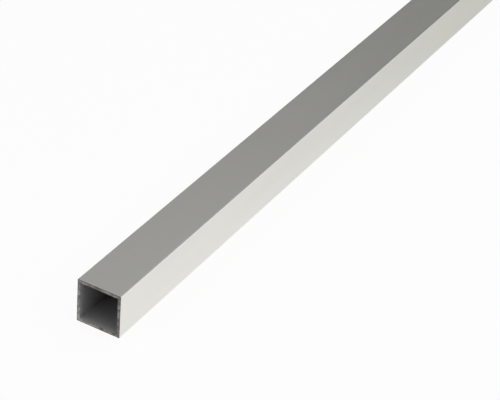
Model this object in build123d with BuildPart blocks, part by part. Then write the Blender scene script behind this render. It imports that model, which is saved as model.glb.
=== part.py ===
from build123d import *
import os

# Square aluminium tube: one hollow section, extruded in one piece and sawn off square at both ends.
# It lies along X on its bottom wall, and the origin is at the middle of its underside.
# All sizes are in millimetres.

# Driving dimensions
length = 1000.0  # sawn end to sawn end
side = 20.0  # outside width and height of the section
wall = 1.5  # thickness of each of the four walls
outer_corner_radius = 0.3  # the crisp extruded corners, outside
inner_corner_radius = 0.2  # the same corners, inside
saw_edge_break = 0.1  # burr taken off the edges of the sawn ends

# Derived size
hollow_side = side - 2 * wall

os.makedirs("parts", exist_ok=True)

# The section is drawn on the cut plane of the -X end, centred on the tube's axis.
cut_plane = Plane(origin=(-length / 2, 0, side / 2), x_dir=(0, 1, 0), z_dir=(1, 0, 0))

with BuildPart() as square_tube:
    with BuildSketch(cut_plane) as section:
        RectangleRounded(side, side, outer_corner_radius)
        RectangleRounded(hollow_side, hollow_side, inner_corner_radius, mode=Mode.SUBTRACT)
    extrude(amount=length)

    # Both sawn ends have the burr taken off, around the outside and around the hollow.
    sawn_faces = square_tube.faces().filter_by(Axis.X)
    chamfer(sawn_faces.edges(), length=saw_edge_break)

square_tube.part.label = "square_tube"
export_step(square_tube.part, "parts/square_tube.step")
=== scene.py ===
import logging
import math
from dataclasses import dataclass, replace
from enum import IntEnum

import bpy
import numpy as np
from mathutils import Matrix, Vector, noise


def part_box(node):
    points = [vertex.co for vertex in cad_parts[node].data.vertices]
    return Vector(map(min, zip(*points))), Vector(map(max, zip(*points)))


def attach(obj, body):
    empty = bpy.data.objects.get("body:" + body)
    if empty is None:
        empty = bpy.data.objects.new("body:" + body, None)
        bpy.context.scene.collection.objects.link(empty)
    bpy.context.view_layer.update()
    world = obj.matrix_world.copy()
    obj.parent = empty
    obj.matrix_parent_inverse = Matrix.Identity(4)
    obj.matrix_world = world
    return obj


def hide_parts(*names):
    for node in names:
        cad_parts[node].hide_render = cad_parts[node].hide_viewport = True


# One length of extruded square aluminium tube, satin anodised, with both ends sawn off and left bare.
# The tube lies along X on a pale studio floor. All sizes are in metres, in the frame of the solids.

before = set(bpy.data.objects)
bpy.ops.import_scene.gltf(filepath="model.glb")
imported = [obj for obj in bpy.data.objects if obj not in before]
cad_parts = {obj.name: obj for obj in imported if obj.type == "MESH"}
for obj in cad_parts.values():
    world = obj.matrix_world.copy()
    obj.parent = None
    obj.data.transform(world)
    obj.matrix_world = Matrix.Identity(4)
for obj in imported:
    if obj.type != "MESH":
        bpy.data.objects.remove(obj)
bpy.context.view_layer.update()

NODE = "square_tube"
MM = 0.001  # one millimetre in metres
FLATS = 4  # of the square section, outside and in the hollow
STRIPS = 2 * FLATS  # of a wall in the baked picture, one for each half of each flat
CORNER_SHIFTS = ((0, 0), (0, -1), (-1, -1), (-1, 0))  # from a face's first point to each of its four
WAVE_REPEATS = 20  # of a wave texture, in every tau of its coordinate

log = logging.getLogger("square_tube")


def linear(hex_colour: str) -> tuple[float, float, float, float]:
    """Turns an sRGB hex colour to the linear one that a socket takes.

    Args:
        hex_colour: Six hex digits after a hash, such as "#E2E1DC".

    Returns:
        Linear red, green and blue, and an alpha of 1.
    """
    shares = [int(hex_colour[i:i + 2], 16) / 255 for i in (1, 3, 5)]
    red, green, blue = (s / 12.92 if s <= 0.04045 else ((s + 0.055) / 1.055) ** 2.4 for s in shares)
    return red, green, blue, 1.0


def add_node(tree: bpy.types.NodeTree, kind: str, inputs: dict, **settings) -> bpy.types.Node:
    """Adds a node with its settings, values and links.

    Args:
        tree: The node tree that it goes in.
        kind: The node's type, without the "ShaderNode" in front.
        inputs: The name or number of an input, and its value or the output that feeds it.
        **settings: The node's own properties.

    Returns:
        The new node.
    """
    node = tree.nodes.new("ShaderNode" + kind)
    for name, value in settings.items():
        setattr(node, name, value)
    for key, value in inputs.items():
        if isinstance(value, bpy.types.NodeSocket):
            tree.links.new(value, node.inputs[key])
        else:
            node.inputs[key].default_value = value
    return node


def empty_material(name: str) -> tuple[bpy.types.Material, bpy.types.NodeTree]:
    """Makes a material with an empty node tree.

    Args:
        name: The material's name.

    Returns:
        The material and its tree.
    """
    material = bpy.data.materials.new(name)
    material.use_nodes = True
    material.node_tree.nodes.clear()
    return material, material.node_tree


def streaks(tree: bpy.types.NodeTree, place: bpy.types.NodeSocket, length: float, width: float,
            detail: float, turn: tuple[float, float, float] = (0.0, 0.0, 0.0)) -> bpy.types.NodeSocket:
    """Adds the nodes of an uneven pattern that is drawn out along the tube.

    Args:
        tree: The material's tree.
        place: The output that gives a point's place on the tube.
        length: How long the pattern's streaks are.
        width: How wide they are.
        detail: How many finer layers the pattern has.
        turn: How far it is turned from straight along the tube.

    Returns:
        The output that gives the pattern's height, from 0 to 1.
    """
    drawn_out = add_node(tree, "Mapping", {
        "Vector": place, "Rotation": turn, "Scale": (1 / length, 1 / width, 1 / width)}).outputs["Vector"]
    return add_node(tree, "TexNoise", {"Vector": drawn_out, "Scale": 1.0, "Detail": detail}).outputs["Fac"]


def from_middle(tree: bpy.types.NodeTree, place: bpy.types.NodeSocket,
                half_side: float) -> bpy.types.bpy_prop_collection:
    """Adds the nodes that measure how far a point lies from the tube's middle.

    Args:
        tree: The material's tree.
        place: The output that gives the point's place on the tube.
        half_side: Half the tube's side, which is the height of its axis.

    Returns:
        The outputs X, Y and Z, which give the distances along, across and up, none of them below 0.
    """
    centred = add_node(tree, "VectorMath", {0: place, 1: (0.0, 0.0, -half_side)}, operation="ADD")
    folded = add_node(tree, "VectorMath", {0: centred.outputs["Vector"]}, operation="ABSOLUTE")
    return add_node(tree, "SeparateXYZ", {"Vector": folded.outputs["Vector"]}).outputs


class Surface(IntEnum):
    """The tube's kinds of surface, in the order of its material slots."""

    OUTSIDE = 0
    HOLLOW = 1
    SAWN_END = 2


class End(IntEnum):
    """The tube's two ends, as the sign of their X."""

    NEAR = -1
    FAR = 1


@dataclass(frozen=True)
class Stroke:
    """One set of fine scratches that all run about the same way."""

    length: float
    pitch: float
    turn: tuple[float, float, float]  # from straight along the tube
    faint_from: float = 0.74  # the height of the pattern at which a scratch starts to show
    full_from: float = 0.80  # and at which it is as deep as it gets

    def field(self, tree: bpy.types.NodeTree, place: bpy.types.NodeSocket) -> bpy.types.NodeSocket:
        """Adds the nodes that draw the scratches.

        Args:
            tree: The material's tree.
            place: The output that gives a point's place on the tube.

        Returns:
            The output that is 1 in a scratch, and 0 elsewhere.
        """
        swell = streaks(tree, place, self.length, self.pitch, detail=0.0, turn=self.turn)
        return add_node(tree, "MapRange", {
            "Value": swell, "From Min": self.faint_from, "From Max": self.full_from,
            "To Min": 0.0, "To Max": 1.0}).outputs["Result"]


@dataclass(frozen=True)
class SatinAnodised:
    """Aluminium extruded through a die, etched matt and clear anodised.

    It gives the eye an even, slightly warm, pale grey metal with soft reflections. Along the tube run only
    the faintest lines from the die, its corners are worn a little paler, partly by rubbing and partly as a
    painted highlight along them, and a few fine scratches cross it.
    """

    half_length: float
    half_side: float
    pale: str = "#E9E8E3"
    deep: str = "#E6E5E0"
    # paler colour where the surface is worn; along the corners it is also a painted highlight
    rubbed_and_highlight: str = "#F2F1EE"
    roughness: float = 0.40
    roughness_spread: float = 0.05  # between the deep tint and the pale one
    rubbed_polish: float = 0.06  # less roughness where the surface is rubbed
    die_line_pitch: float = 0.5 * MM  # real ones are under 0.1 mm apart, too fine to show
    die_line_length: float = 400 * MM
    die_line_depth: float = 0.002 * MM
    die_line_tint: float = 0.4  # how much the die lines count in the tint, beside the clouds
    cloud_length: float = 70 * MM
    cloud_width: float = 9 * MM
    colour_range: tuple[float, float] = (0.45, 0.95)  # of the tint, from the deep colour to the pale one
    matt_range: tuple[float, float] = (0.4, 1.0)  # of the tint, over the spread of roughness
    scratch_roughness: float = 0.04  # more roughness in a scratch
    scratch_depth: float = 0.5  # beside the depth of a die line
    scratches: tuple[Stroke, ...] = (
        Stroke(length=18 * MM, pitch=0.4 * MM, turn=(0.0, math.radians(3), math.radians(2))),
        Stroke(length=6 * MM, pitch=0.35 * MM, turn=(0.0, math.radians(-28), math.radians(21))),
    )
    # width of the worn, paler band along each corner, which is also a painted highlight
    worn_highlight_corner: float = 0.4 * MM
    worn_end: float = 0.6 * MM

    def material(self) -> bpy.types.Material:
        """Makes the finish's material.

        Returns:
            The material.
        """
        material, tree = empty_material("satin_anodised_aluminium")
        place = add_node(tree, "TexCoord", {}).outputs["Object"]
        die_lines = streaks(tree, place, self.die_line_length, self.die_line_pitch, detail=2.0)
        clouds = streaks(tree, place, self.cloud_length, self.cloud_width, detail=3.0)
        tint = add_node(tree, "Math", {
            0: die_lines, 1: self.die_line_tint, 2: clouds}, operation="MULTIPLY_ADD").outputs[0]
        wear_and_highlight = self.find_wear_and_highlight(tree, place)
        marks = [stroke.field(tree, place) for stroke in self.scratches]
        scratched = add_node(tree, "Math", {0: marks[0], 1: marks[1]}, operation="MAXIMUM").outputs[0]

        low, high = self.colour_range
        share = add_node(tree, "MapRange", {
            "Value": tint, "From Min": low, "From Max": high, "To Min": 0.0, "To Max": 1.0}).outputs["Result"]
        anodised = add_node(tree, "Mix", {
            "Factor": share, "A": linear(self.deep), "B": linear(self.pale)},
            data_type="RGBA").outputs["Result"]
        # paler where worn: along the corners this is partly a painted highlight
        colour = add_node(tree, "Mix", {
            "Factor": wear_and_highlight, "A": anodised, "B": linear(self.rubbed_and_highlight)}, data_type="RGBA").outputs["Result"]

        low, high = self.matt_range
        matt = add_node(tree, "MapRange", {
            "Value": tint, "From Min": low, "From Max": high,
            "To Min": self.roughness + self.roughness_spread / 2,
            "To Max": self.roughness - self.roughness_spread / 2}).outputs["Result"]
        polished = add_node(tree, "Math", {
            0: wear_and_highlight, 1: -self.rubbed_polish, 2: matt}, operation="MULTIPLY_ADD").outputs[0]
        roughness = add_node(tree, "Math", {
            0: scratched, 1: self.scratch_roughness, 2: polished}, operation="MULTIPLY_ADD").outputs[0]

        relief = add_node(tree, "Math", {
            0: scratched, 1: -self.scratch_depth, 2: die_lines}, operation="MULTIPLY_ADD").outputs[0]
        bump = add_node(tree, "Bump", {
            "Height": relief, "Strength": 1.0, "Distance": self.die_line_depth}).outputs["Normal"]
        shader = add_node(tree, "BsdfPrincipled", {
            "Base Color": colour, "Metallic": 1.0, "Roughness": roughness, "Normal": bump})
        add_node(tree, "OutputMaterial", {"Surface": shader.outputs["BSDF"]})
        return material

    def find_wear_and_highlight(self, tree: bpy.types.NodeTree, place: bpy.types.NodeSocket) -> bpy.types.NodeSocket:
        """Adds the nodes that find the corners, which are worn paler and carry a painted highlight, and the
        handled strip beside the sawn ends.

        Args:
            tree: The material's tree.
            place: The output that gives a point's place on the tube.

        Returns:
            The output that is 1 where the surface is rubbed, and 0 elsewhere.
        """
        away = from_middle(tree, place, self.half_side)
        inner = add_node(tree, "Math", {0: away["Y"], 1: away["Z"]}, operation="MINIMUM").outputs[0]
        corner = add_node(tree, "MapRange", {
            "Value": inner, "From Min": self.half_side - 2 * self.worn_highlight_corner,
            "From Max": self.half_side - self.worn_highlight_corner, "To Min": 0.0, "To Max": 1.0},
            interpolation_type="SMOOTHSTEP").outputs["Result"]
        end = add_node(tree, "MapRange", {
            "Value": away["X"], "From Min": self.half_length - self.worn_end,
            "From Max": self.half_length, "To Min": 0.0, "To Max": 1.0},
            interpolation_type="SMOOTHSTEP").outputs["Result"]
        return add_node(tree, "Math", {0: corner, 1: end}, operation="MAXIMUM").outputs[0]


@dataclass(frozen=True)
class MillFinishHollow:
    """The inside of the tube, as it left the die: bare aluminium that no etching or polishing reached.

    It gives the eye a duller and darker grey than the outside, with coarser lines along it. Just inside the
    sawn ends its colour is paler, partly where the brush that took the loose burr off has reached and partly
    as painted light that falls in at the mouth.
    """

    half_length: float
    half_side: float
    pale: str = "#B9B9B9"
    deep: str = "#B0B1B1"
    # paler colour just inside the sawn ends: partly brushed metal, partly painted light falling in at the
    # mouth
    brushed_and_lit: str = "#CACAC9"
    brushed_and_lit_reach: float = 3 * MM
    metallic: float = 0.85  # a thin dull film of oxide scatters the rest
    roughness: float = 0.62
    line_polish: float = 0.06  # less roughness on the pale lines
    die_line_pitch: float = 0.6 * MM  # real ones are about 0.1 mm apart, too fine to show
    die_line_length: float = 150 * MM
    die_line_depth: float = 0.006 * MM
    colour_range: tuple[float, float] = (0.3, 0.7)  # of the lines, from the deep colour to the pale one

    def material(self) -> bpy.types.Material:
        """Makes the finish's material.

        Returns:
            The material.
        """
        material, tree = empty_material("mill_finish_aluminium")
        place = add_node(tree, "TexCoord", {}).outputs["Object"]
        die_lines = streaks(tree, place, self.die_line_length, self.die_line_pitch, detail=3.0)
        low, high = self.colour_range
        share = add_node(tree, "MapRange", {
            "Value": die_lines, "From Min": low, "From Max": high,
            "To Min": 0.0, "To Max": 1.0}).outputs["Result"]
        dull = add_node(tree, "Mix", {
            "Factor": share, "A": linear(self.deep), "B": linear(self.pale)},
            data_type="RGBA").outputs["Result"]
        # paler just inside the sawn ends: partly brushing, partly painted light falling in at the mouth
        brushed_and_lit = add_node(tree, "MapRange", {
            "Value": from_middle(tree, place, self.half_side)["X"],
            "From Min": self.half_length - self.brushed_and_lit_reach, "From Max": self.half_length,
            "To Min": 0.0, "To Max": 1.0}, interpolation_type="SMOOTHSTEP").outputs["Result"]
        colour = add_node(tree, "Mix", {
            "Factor": brushed_and_lit, "A": dull, "B": linear(self.brushed_and_lit)}, data_type="RGBA").outputs["Result"]
        matt = add_node(tree, "Math", {
            0: share, 1: -self.line_polish, 2: self.roughness}, operation="MULTIPLY_ADD").outputs[0]
        bump = add_node(tree, "Bump", {
            "Height": die_lines, "Strength": 1.0, "Distance": self.die_line_depth}).outputs["Normal"]
        shader = add_node(tree, "BsdfPrincipled", {
            "Base Color": colour, "Metallic": self.metallic, "Roughness": matt, "Normal": bump})
        add_node(tree, "OutputMaterial", {"Surface": shader.outputs["BSDF"]})
        return material


@dataclass(frozen=True)
class SawCut:
    """Aluminium cut by a circular saw and left bare.

    It gives the eye a dark, slightly warm grey that is rougher than the faces, with the shallow arcs of the
    blade across it and patches, some pale and some dark, where the teeth tore or smeared the metal. Its
    colour is darker along both edges, where a low, broken burr stands: partly metal smeared by the teeth and
    partly painted shade beside the burr.
    """

    half_side: float
    wall: float
    blade_radius: float = 125 * MM
    blade_angle: float = math.radians(143)  # from +Y towards +Z, where the blade came from
    arc_pitch: float = 1.0 * MM  # between the deep arcs, one for each turn of the blade
    arc_depth: float = 0.012 * MM
    tooth_pitch: float = 0.25 * MM  # real tooth marks are under 0.1 mm apart, too fine to show
    tooth_depth: float = 0.004 * MM
    smear_size: float = 2.2 * MM
    smear_depth: float = 0.02 * MM
    smear_seed: float = 3207.9  # picks the pattern of pale and dark patches
    smear_place: float = 10.0  # where the noise is cut for the smears' relief, on either side of 0
    burr_place: float = 20.0  # and for the burr
    burr_height: float = 0.05 * MM
    burr_reach: float = 0.2 * MM  # from the edge that it stands on
    burr_length: float = 1.2 * MM
    burr_contrast: float = 1.5  # past 1, some of the burr stands whole and some is gone
    tooth_tone: float = 0.08  # what the tooth marks add to the smears
    middle_tone: float = 0.05  # added to the smears in the middle of the wall
    edge_shade_tone: float = -0.12  # added to them along both edges: painted shade beside the burr, with metal smeared by the teeth
    entry_tone: float = -0.10  # added to them on the side that the blade came from
    exit_tone: float = 0.01  # added to them on the side that it left by
    colour_range: tuple[float, float] = (0.36, 0.72)  # of the tone, from the deep colour to the pale one
    pale: str = "#A6A19D"
    deep: str = "#5E5B59"
    roughness: float = 0.58
    smear_polish: float = 0.15  # less roughness where the metal is smeared pale

    def blade_centre(self) -> tuple[float, float]:
        """Gives the Y and Z of the blade's centre as it passed through the tube."""
        return (self.blade_radius * math.cos(self.blade_angle),
                self.half_side + self.blade_radius * math.sin(self.blade_angle))

    def depth(self, end: End, y: float, z: float) -> float:
        """Gives how deep the cut lies under the tube's nominal end.

        Args:
            end: The end that was cut.
            y: The point's place across the tube.
            z: The point's height.

        Returns:
            The depth, in metres, from 0 at the top of the burr.
        """
        blade_y, blade_z = self.blade_centre()
        turns = math.hypot(y - blade_y, z - blade_z) / self.arc_pitch
        arc = 0.5 + 0.5 * math.sin(math.tau * turns)
        smear_at = Vector((self.smear_place * end, y / self.smear_size, z / self.smear_size))
        smear = 0.5 + noise.noise(smear_at)
        inset = self.half_side - max(abs(y), abs(z - self.half_side))
        beside_edge = max(0.0, 1 - min(inset, self.wall - inset) / self.burr_reach)
        burr_at = Vector((self.burr_place * end, y / self.burr_length, z / self.burr_length))
        torn = 0.5 + self.burr_contrast * noise.noise(burr_at)
        burr = beside_edge * min(1.0, max(0.0, torn))
        return (1 - burr) * (self.burr_height + self.arc_depth * arc + self.smear_depth * smear)

    def material(self) -> bpy.types.Material:
        """Makes the finish's material.

        Returns:
            The material.
        """
        material, tree = empty_material("sawn_aluminium")
        place = add_node(tree, "TexCoord", {}).outputs["Object"]
        blade_y, blade_z = self.blade_centre()
        from_blade = add_node(tree, "VectorMath", {
            0: place, 1: (0.0, blade_y, blade_z)}, operation="SUBTRACT").outputs["Vector"]
        tooth_marks = add_node(tree, "TexWave", {
            "Vector": from_blade, "Scale": math.tau / WAVE_REPEATS / self.tooth_pitch,
            "Distortion": 1.0, "Detail": 2.0, "Detail Scale": 0.3},
            wave_type="RINGS", rings_direction="X").outputs["Fac"]
        smears = add_node(tree, "TexNoise", {
            "Vector": place, "W": self.smear_seed, "Scale": 1 / self.smear_size, "Detail": 3.0,
            "Roughness": 0.6}, noise_dimensions="4D").outputs["Fac"]
        blade_distance = add_node(tree, "VectorMath", {
            0: from_blade, 1: (0.0, -math.cos(self.blade_angle), -math.sin(self.blade_angle))},
            operation="DOT_PRODUCT").outputs["Value"]
        passage = add_node(tree, "MapRange", {
            "Value": blade_distance, "From Min": self.blade_radius - self.half_side,
            "From Max": self.blade_radius + self.half_side,
            "To Min": self.entry_tone, "To Max": self.exit_tone}, clamp=False).outputs["Result"]
        marked = add_node(tree, "Math", {
            0: tooth_marks, 1: self.tooth_tone, 2: smears}, operation="MULTIPLY_ADD").outputs[0]
        # darker along both edges: partly painted shade beside the burr, partly smeared metal
        edge_shaded = add_node(tree, "Math", {0: marked, 1: self.edge_shading(tree, place)}, operation="ADD").outputs[0]
        tone = add_node(tree, "Math", {0: edge_shaded, 1: passage}, operation="ADD").outputs[0]
        low, high = self.colour_range
        share = add_node(tree, "MapRange", {
            "Value": tone, "From Min": low, "From Max": high, "To Min": 0.0, "To Max": 1.0}).outputs["Result"]
        colour = add_node(tree, "Mix", {
            "Factor": share, "A": linear(self.deep), "B": linear(self.pale)},
            data_type="RGBA").outputs["Result"]
        matt = add_node(tree, "Math", {
            0: share, 1: -self.smear_polish, 2: self.roughness}, operation="MULTIPLY_ADD").outputs[0]
        bump = add_node(tree, "Bump", {
            "Height": tooth_marks, "Strength": 1.0, "Distance": self.tooth_depth}).outputs["Normal"]
        shader = add_node(tree, "BsdfPrincipled", {
            "Base Color": colour, "Metallic": 1.0, "Roughness": matt, "Normal": bump})
        add_node(tree, "OutputMaterial", {"Surface": shader.outputs["BSDF"]})
        return material

    def edge_shading(self, tree: bpy.types.NodeTree, place: bpy.types.NodeSocket) -> bpy.types.NodeSocket:
        """Adds the nodes that darken the cut along its edges, partly as painted shade beside the burr, and
        lighten it between them.

        Args:
            tree: The material's tree.
            place: The output that gives a point's place on the tube.

        Returns:
            The output that goes from the edge's tone to the middle's.
        """
        away = from_middle(tree, place, self.half_side)
        outwards = add_node(tree, "Math", {0: away["Y"], 1: away["Z"]}, operation="MAXIMUM").outputs[0]
        half_wall = self.wall / 2
        off_middle = add_node(tree, "Math", {
            0: outwards, 1: self.half_side - half_wall}, operation="SUBTRACT").outputs[0]
        in_wall = add_node(tree, "Math", {0: off_middle}, operation="ABSOLUTE").outputs[0]
        return add_node(tree, "MapRange", {
            "Value": in_wall, "From Min": half_wall, "From Max": 0.0,
            "To Min": self.edge_shade_tone, "To Max": self.middle_tone}).outputs["Result"]


@dataclass(frozen=True)
class Row:
    """One ring of points around the tube's axis, square with rounded corners.

    The rows run along the outside from the near end, over the far end, back along the hollow and over the
    near end, so that the last one meets the first.
    """

    x: float
    inset: float  # how far the ring lies inside the tube's outer faces
    surface: Surface  # of the faces between this row and the next
    flat_inset: float  # the inset that it has with the rounded edges of the sawn end rolled out flat


@dataclass(frozen=True)
class FlatLayout:
    """Where the tube's faces lie in the square picture that an export bakes.

    Each flat of the outside and of the hollow is two strips, one for each half of its length. The strips lie
    above each other, over the two sawn ends, which are larger than the rest for their finer pattern. All
    sizes are shares of the picture's side.
    """

    gap: float = 0.003
    end_side: float = 0.25
    outside_height: float = 0.064
    hollow_height: float = 0.022

    def strips(self, surface: Surface, numbers: np.ndarray) -> tuple[np.ndarray, float]:
        """Gives the places of some strips.

        Args:
            surface: The outside or the hollow.
            numbers: The strips' numbers, counted from 0.

        Returns:
            The height in the picture of each strip's lower edge, and how high the strips are.
        """
        above_ends = 2 * self.gap + self.end_side
        if surface is Surface.OUTSIDE:
            return above_ends + numbers * (self.outside_height + self.gap), self.outside_height
        above_outside = above_ends + STRIPS * (self.outside_height + self.gap)
        return above_outside + numbers * (self.hollow_height + self.gap), self.hollow_height

    def end_centre(self, end: End) -> tuple[float, float]:
        """Gives the middle of a sawn end in the picture."""
        half = self.end_side / 2
        return self.gap + half + (end is End.FAR) * (self.end_side + self.gap), self.gap + half


@dataclass
class SquareTube:
    """The tube: its walls, the hollow and the two sawn ends, in one closed mesh."""

    length: float
    side: float
    wall: float
    outer_corner_radius: float = 0.3 * MM
    inner_corner_radius: float = 0.2 * MM
    saw_edge_break: float = 0.1 * MM
    columns: int = 150  # across each of the four flats
    corner_steps: int = 5
    break_steps: int = 3
    cut_steps: int = 13  # through the wall, on a sawn end
    first_step: float = 0.15 * MM  # along the tube, beside a sawn end
    doublings: int = 10
    long_steps: int = 6
    relief_reach: float = 0.5 * MM  # how far from a cut its relief still moves the walls

    @classmethod
    def from_frame(cls) -> "SquareTube":
        """Reads the tube's sizes from its solid.

        Returns:
            A tube of the solid's length, side and wall.
        """
        low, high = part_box(NODE)
        side = high.z - low.z
        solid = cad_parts[NODE]
        found, hit, _, _ = solid.ray_cast(Vector((0, 0, side / 2)), Vector((0, 1, 0)))
        if not found:
            raise ValueError("the solid has no wall beside its axis")
        return cls(length=high.x - low.x, side=side, wall=side / 2 - hit.y)

    def build(self) -> bpy.types.Object:
        """Builds the tube and dresses it.

        Returns:
            The tube's object, riding on the solid's body in the solid's place.
        """
        cut = SawCut(self.side / 2, self.wall)
        finishes = {
            Surface.OUTSIDE: SatinAnodised(self.length / 2, self.side / 2),
            Surface.HOLLOW: MillFinishHollow(self.length / 2, self.side / 2),
            Surface.SAWN_END: cut,
        }
        rows = self.rows()
        mesh = self.mesh(rows, cut)
        self.lay_out(mesh, rows, FlatLayout())
        for surface in Surface:
            mesh.materials.append(finishes[surface].material())
        tube = bpy.data.objects.new("sawn_square_tube", mesh)
        bpy.context.scene.collection.objects.link(tube)
        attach(tube, "root")
        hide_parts(NODE)
        log.info("tube: %.0f x %.0f x %.1f mm, %.0f mm long, %d faces",
                 self.side / MM, self.side / MM, self.wall / MM, self.length / MM, len(mesh.polygons))
        return tube

    def stations(self) -> list[float]:
        """Gives the places of the rows along a wall, close together beside the sawn ends.

        Returns:
            The X of each row, from the near end to the far end, with the edge breaks left out.
        """
        half = self.length / 2 - self.saw_edge_break
        close = [0.0] + [self.first_step * 2 ** i for i in range(self.doublings)]
        far = np.linspace(close[-1], half, self.long_steps + 1)[1:].tolist()
        from_end = close + far
        return [d - half for d in from_end] + [half - d for d in reversed(from_end[:-1])]

    def rolled_out(self) -> float:
        """Gives how much wider a rounded edge of a sawn end is when it is laid flat."""
        return self.saw_edge_break * (math.pi / 2 - 1)

    def rows(self) -> list[Row]:
        """Lists the rows of points that make up the tube.

        Returns:
            The rows, in order, from the near end along the outside.
        """
        places = self.stations()
        gain = self.rolled_out()
        outside = [Row(x, 0.0, Surface.OUTSIDE, -gain) for x in places]
        hollow = [Row(x, self.wall, Surface.HOLLOW, self.wall + gain) for x in reversed(places)]
        outside[-1] = replace(outside[-1], surface=Surface.SAWN_END)
        hollow[-1] = replace(hollow[-1], surface=Surface.SAWN_END)
        return outside + self.end_rows(End.FAR) + hollow + self.end_rows(End.NEAR)[::-1]

    def end_rows(self, end: End) -> list[Row]:
        """Lists the rows over a sawn end, between the outer wall's last row and the hollow's first.

        Args:
            end: Which end.

        Returns:
            The rows, from the outside inwards.
        """
        tip, e = self.length / 2, self.saw_edge_break
        turns = [math.pi / 2 * i / self.break_steps for i in range(1, self.break_steps + 1)]
        outer = [(tip - e * (1 - math.sin(t)), e * (1 - math.cos(t)), e * (1 + t - math.pi / 2))
                 for t in turns]
        inner = [(x, self.wall - inset, self.wall - flat_inset) for x, inset, flat_inset in reversed(outer)]
        across = np.linspace(e, self.wall - e, self.cut_steps + 1)[1:-1].tolist()
        face = [(tip, inset, inset) for inset in across]
        return [Row(end * x, inset, Surface.SAWN_END, flat_inset)
                for x, inset, flat_inset in outer + face + inner]

    def loop(self, inset: float) -> np.ndarray:
        """Gives the points of one row, around the tube's axis.

        Args:
            inset: How far the row lies inside the outer faces.

        Returns:
            An array of Y and Z pairs from the axis, anticlockwise as seen from the far end.
        """
        half = self.side / 2 - inset
        through = inset / self.wall
        radius = (1 - through) * self.outer_corner_radius + through * self.inner_corner_radius
        flat = half - radius
        along_flat = np.linspace(-flat, flat, self.columns + 1)
        turns = np.pi / 2 * np.arange(1, self.corner_steps) / self.corner_steps
        points = []
        for quarter in range(FLATS):
            tangent = np.array([math.cos(quarter * math.pi / 2), math.sin(quarter * math.pi / 2)])
            normal = np.array([tangent[1], -tangent[0]])
            points.append(normal * half + along_flat[:, None] * tangent)
            corner = np.cos(turns)[:, None] * normal + np.sin(turns)[:, None] * tangent
            points.append((normal + tangent) * flat + radius * corner)
        return np.concatenate(points)

    def mesh(self, rows: list[Row], cut: SawCut) -> bpy.types.Mesh:
        """Builds the tube's closed mesh from its rows.

        Args:
            rows: The rows of points.
            cut: The saw cut whose relief the ends carry.

        Returns:
            The mesh, with a surface number on each face.
        """
        rings = []
        for row in rows:
            ring = self.loop(row.inset) + [0.0, self.side / 2]
            rings.append(np.column_stack([np.full(len(ring), row.x), ring]))
        points = np.array(rings)
        self.saw(points, cut)
        count, around = points.shape[:2]
        numbers = np.arange(count * around).reshape(count, around)
        faces = np.stack([np.roll(numbers, shift, axis=(0, 1)) for shift in CORNER_SHIFTS], axis=-1)
        mesh = bpy.data.meshes.new("sawn_square_tube")
        mesh.from_pydata(points.reshape(-1, 3).tolist(), [], faces.reshape(-1, 4).tolist())
        surfaces = np.repeat([int(row.surface) for row in rows], around)
        mesh.polygons.foreach_set("material_index", surfaces.astype(np.int32))
        mesh.polygons.foreach_set("use_smooth", np.ones(len(surfaces), dtype=bool))
        mesh.update()
        return mesh

    def saw(self, points: np.ndarray, cut: SawCut) -> None:
        """Moves the points at both ends to the relief that the saw left.

        Args:
            points: The X, Y and Z of every point, changed in place.
            cut: The saw cut.
        """
        tip = self.length / 2
        for end in End:
            near = end * points[..., 0] > tip - self.relief_reach
            for index in np.argwhere(near):
                x, y, z = points[tuple(index)]
                fade = 1 - (tip - end * x) / self.relief_reach
                points[tuple(index)][0] = x - end * fade * cut.depth(end, y, z)

    def lay_out(self, mesh: bpy.types.Mesh, rows: list[Row], layout: FlatLayout) -> None:
        """Gives the mesh the map that an export bakes its picture to.

        Args:
            mesh: The tube's mesh.
            rows: The rows that it was built from.
            layout: Where the faces lie in the picture.
        """
        around = FLATS * (self.columns + self.corner_steps)
        places = np.empty((len(rows), around, len(CORNER_SHIFTS), 2))
        for number, row in enumerate(rows):
            following = rows[(number + 1) % len(rows)]
            if row.surface is Surface.SAWN_END:
                places[number] = self.end_places(row, following, layout)
            else:
                places[number] = self.strip_places(row, following, layout)
        mesh.uv_layers.new(name="OFBake").data.foreach_set("uv", places.ravel())

    def end_places(self, row: Row, following: Row, layout: FlatLayout) -> np.ndarray:
        """Gives the places of one row of a sawn end's faces in the baked picture.

        Args:
            row: The row of points on one side of the faces.
            following: The row on the other side.
            layout: Where the faces lie in the picture.

        Returns:
            An array of each face's four corners.
        """
        scale = layout.end_side / (self.side + 2 * self.rolled_out())
        middle = layout.end_centre(End.FAR if row.x > 0 else End.NEAR)
        here, there = (self.loop(r.flat_inset) * scale + middle for r in (row, following))
        return np.stack([here, np.roll(here, -1, axis=0), np.roll(there, -1, axis=0), there], axis=1)

    def strip_places(self, row: Row, following: Row, layout: FlatLayout) -> np.ndarray:
        """Gives the places of one row of a wall's faces in the baked picture.

        Args:
            row: The row of points on one side of the faces.
            following: The row on the other side.
            layout: Where the faces lie in the picture.

        Returns:
            An array of each face's four corners.
        """
        per_flat = self.columns + self.corner_steps
        ring = self.loop(row.inset)
        steps = np.linalg.norm(np.roll(ring, -1, axis=0) - ring, axis=1)[:per_flat]
        share_after = np.cumsum(steps) / steps.sum()
        share_before = np.concatenate([[0.0], share_after[:-1]])
        far_half = int(row.x + following.x > 0)
        bottoms, height = layout.strips(row.surface, 2 * np.arange(FLATS) + far_half)
        before, after = (np.add.outer(bottoms, share * height).ravel()
                         for share in (share_before, share_after))
        length = 1 - 2 * layout.gap
        half_length = self.length / 2
        here, there = (layout.gap + length * (1 - far_half + r.x / half_length) for r in (row, following))
        corners = [(here, before), (here, after), (there, after), (there, before)]
        return np.stack([np.stack([np.full(len(v), u), v], axis=1) for u, v in corners], axis=1)


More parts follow.
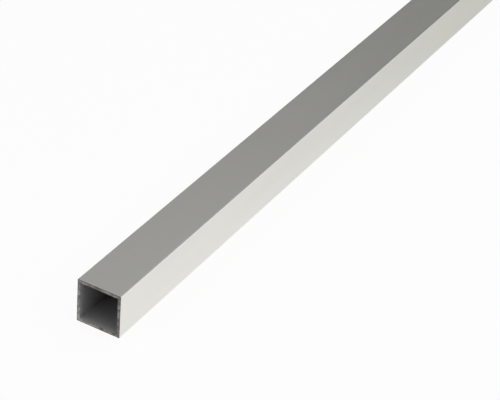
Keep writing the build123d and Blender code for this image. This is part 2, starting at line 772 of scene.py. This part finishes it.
@dataclass
class PhotoCamera:
    """A camera at the photograph's angle, found from the tube's edges in it."""

    from_near_end: tuple[float, float, float] = (-469.6 * MM, -307.5 * MM, 438.2 * MM)
    azimuth: float = math.radians(-62.36)
    elevation: float = math.radians(33.65)
    roll: float = math.radians(4.99)
    lens: float = 131.16  # in millimetres, as the sensor is
    sensor: float = 36.0
    nearest: float = 10 * MM  # that it sees
    furthest: float = 100.0

    def build(self, near_end: Vector) -> bpy.types.Object:
        """Makes the scene's camera.

        Args:
            near_end: The middle of the bottom edge of the tube's near end.

        Returns:
            The camera.
        """
        flat = math.cos(self.elevation)
        back = Vector((
            math.sin(self.azimuth) * flat, -math.cos(self.azimuth) * flat, math.sin(self.elevation)))
        right = Vector((0, 0, 1)).cross(back).normalized()
        up = back.cross(right)
        turned_right = math.cos(self.roll) * right + math.sin(self.roll) * up
        turned_up = back.cross(turned_right)
        data = bpy.data.cameras.new("photo_camera")
        data.lens, data.sensor_width = self.lens, self.sensor
        data.clip_start, data.clip_end = self.nearest, self.furthest
        camera = bpy.data.objects.new("photo_camera", data)
        turn = Matrix((turned_right, turned_up, back)).transposed().to_4x4()
        camera.matrix_world = Matrix.Translation(near_end + Vector(self.from_near_end)) @ turn
        bpy.context.scene.collection.objects.link(camera)
        bpy.context.scene.camera = camera
        log.info("camera: %.1f mm lens", self.lens)
        return camera


@dataclass(frozen=True)
class SoftLamp:
    """A square soft lamp that hangs over the tube and faces a point on it."""

    name: str
    heading: float  # of the lamp from its target, from +X towards +Y
    height_angle: float  # of the lamp above the floor, as seen from its target
    power: float  # in watts
    side: float
    distance: float = 2.0  # from its target

    def build(self, target: Vector) -> bpy.types.Object:
        """Hangs the lamp.

        Args:
            target: The point that the lamp faces.

        Returns:
            The lamp.
        """
        flat = math.cos(self.height_angle)
        away = Vector((
            math.cos(self.heading) * flat, math.sin(self.heading) * flat, math.sin(self.height_angle)))
        data = bpy.data.lights.new(self.name, "AREA")
        data.shape = "SQUARE"
        data.size = self.side
        data.energy = self.power
        lamp = bpy.data.objects.new(self.name, data)
        lamp.location = target + self.distance * away
        lamp.rotation_euler = away.to_track_quat("Z", "Y").to_euler()
        lamp.visible_camera = False
        bpy.context.scene.collection.objects.link(lamp)
        log.info("lamp: %s, %.1f W", self.name, self.power)
        return lamp


@dataclass
class Studio:
    """A white floor that curves up into a low wall, three soft lamps overhead and a dim, even room.

    The lamps are wide and low in power, so that a face that mirrors one of them still stays below white.
    """

    target_from_near_end: float = 100 * MM  # along the tube, to the point that the lamps face
    lamps: tuple[SoftLamp, ...] = (
        SoftLamp("left_softbox", math.radians(140), math.radians(50), power=25.8, side=3.0),
        SoftLamp("right_softbox", math.radians(265), math.radians(55), power=25.4, side=2.4),
        SoftLamp("far_softbox", math.radians(0), math.radians(70), power=12.0, side=3.0),
    )
    room_colour: str = "#FBFFF6"
    room_level: float = 0.03
    floor_radius: float = 12.0
    floor_sides: int = 96
    floor_gap: float = 0.2 * MM  # keeps the floor off the tube's underside
    bend_radius: float = 1.0  # where the floor turns up into the wall
    bend_steps: int = 12
    wall_height: float = 2.4
    floor_colour: str = "#FAFAF9"
    white_share: float = 0.90  # of the floor that shows plain white, the rest is lit and holds the shadow
    white_near: str = "#FFFFFF"  # as the camera sees it, and the tube beside its near end
    painted_glow_away: str = "#DBDCD9"  # as the rest of the tube mirrors it: the floor's glow, painted dimmer further from the near end
    painted_glow_reach: float = 400 * MM  # from the near end, over which the painted glow dims from the one to the other

    def build(self, near_end: Vector) -> None:
        """Builds the floor, the lamps and the room.

        Args:
            near_end: The middle of the bottom edge of the tube's near end.
        """
        self.floor(near_end)
        for lamp in self.lamps:
            lamp.build(near_end + Vector((self.target_from_near_end, 0, 0)))
        self.room()
        bpy.context.scene.view_settings.view_transform = "Standard"
        log.info("studio: floor, %d lamps and the room", len(self.lamps))

    def floor(self, near_end: Vector) -> bpy.types.Object:
        """Lays the floor, with the low wall around it.

        Args:
            near_end: The middle of the bottom edge of the tube's near end.

        Returns:
            The floor.
        """
        turns = np.linspace(0, math.tau, self.floor_sides, endpoint=False)
        bends = np.linspace(0, math.pi / 2, self.bend_steps + 1)
        radii = np.append(self.floor_radius - self.bend_radius * (1 - np.sin(bends)), self.floor_radius)
        heights = np.append(self.bend_radius * (1 - np.cos(bends)), self.wall_height) - self.floor_gap
        rings = np.stack([np.outer(radii, np.cos(turns)), np.outer(radii, np.sin(turns)),
                          np.outer(heights, np.ones(self.floor_sides))], axis=-1)
        numbers = np.arange(len(radii) * self.floor_sides).reshape(len(radii), self.floor_sides)
        beside = np.roll(numbers, -1, axis=1)
        bands = np.stack([numbers[:-1], numbers[1:], beside[1:], beside[:-1]], axis=-1).reshape(-1, 4)
        mesh = bpy.data.meshes.new("studio_floor")
        mesh.from_pydata(rings.reshape(-1, 3).tolist(), [], [numbers[0].tolist()] + bands.tolist())
        mesh.polygons.foreach_set("use_smooth", np.ones(len(mesh.polygons), dtype=bool))
        mesh.materials.append(self.paper(near_end))
        mesh.update()
        floor = bpy.data.objects.new("studio_floor", mesh)
        bpy.context.scene.collection.objects.link(floor)
        return floor

    def paper(self, near_end: Vector) -> bpy.types.Material:
        """Makes the floor's matt white paper, which keeps the tube's soft shadow.

        Seen from below it is clear, so that the tube's underside shows too. In the tube's reflection its
        white is a painted pool of light, brightest beside the tube's near end.

        Args:
            near_end: The middle of the bottom edge of the tube's near end.

        Returns:
            The material.
        """
        material, tree = empty_material("matt_white_paper")
        path = add_node(tree, "LightPath", {}).outputs
        seen = add_node(tree, "Math", {
            0: path["Is Camera Ray"], 1: path["Is Glossy Ray"]}, operation="MAXIMUM").outputs[0]
        shown = add_node(tree, "Math", {
            0: seen, 1: path["Is Transmission Ray"]}, operation="MAXIMUM").outputs[0]
        share = add_node(tree, "Math", {0: shown, 1: self.white_share}, operation="MULTIPLY").outputs[0]
        place = add_node(tree, "TexCoord", {}).outputs["Object"]
        distance = add_node(tree, "VectorMath", {
            0: place, 1: near_end}, operation="DISTANCE").outputs["Value"]
        # painted pool of light: the floor that the tube mirrors glows brightest beside its near end
        beside = add_node(tree, "MapRange", {
            "Value": distance, "From Min": 0.0, "From Max": self.painted_glow_reach, "To Min": 1.0, "To Max": 0.0},
            interpolation_type="SMOOTHSTEP").outputs["Result"]
        backdrop_and_painted_glow = add_node(tree, "Math", {
            0: beside, 1: path["Is Camera Ray"]}, operation="MAXIMUM").outputs[0]
        shade = add_node(tree, "Mix", {
            "Factor": backdrop_and_painted_glow, "A": linear(self.painted_glow_away), "B": linear(self.white_near)},
            data_type="RGBA").outputs["Result"]
        white = add_node(tree, "Emission", {"Color": shade, "Strength": 1.0}).outputs["Emission"]
        lit = add_node(tree, "BsdfDiffuse", {"Color": linear(self.floor_colour)}).outputs["BSDF"]
        mixed = add_node(tree, "MixShader", {0: share, 1: lit, 2: white}).outputs["Shader"]
        clear = add_node(tree, "BsdfTransparent", {}).outputs["BSDF"]
        below = add_node(tree, "NewGeometry", {}).outputs["Backfacing"]
        paper = add_node(tree, "MixShader", {0: below, 1: mixed, 2: clear}).outputs["Shader"]
        add_node(tree, "OutputMaterial", {"Surface": paper})
        return material

    def room(self) -> None:
        """Surrounds the tube with a dim, even light."""
        world = bpy.data.worlds.new("studio_room")
        world.use_nodes = True
        tree = world.node_tree
        tree.nodes.clear()
        light = add_node(tree, "Background", {
            "Color": linear(self.room_colour), "Strength": self.room_level}).outputs["Background"]
        add_node(tree, "OutputWorld", {"Surface": light})
        bpy.context.scene.world = world


def main() -> None:
    """Builds the camera, the tube and the studio, in that order."""
    logging.basicConfig(level=logging.INFO, format="%(name)s: %(message)s")
    tube = SquareTube.from_frame()
    near_end = Vector((-tube.length / 2, 0, 0))
    PhotoCamera().build(near_end)
    tube.build()
    Studio().build(near_end)


if __name__ == "__main__":
    main()
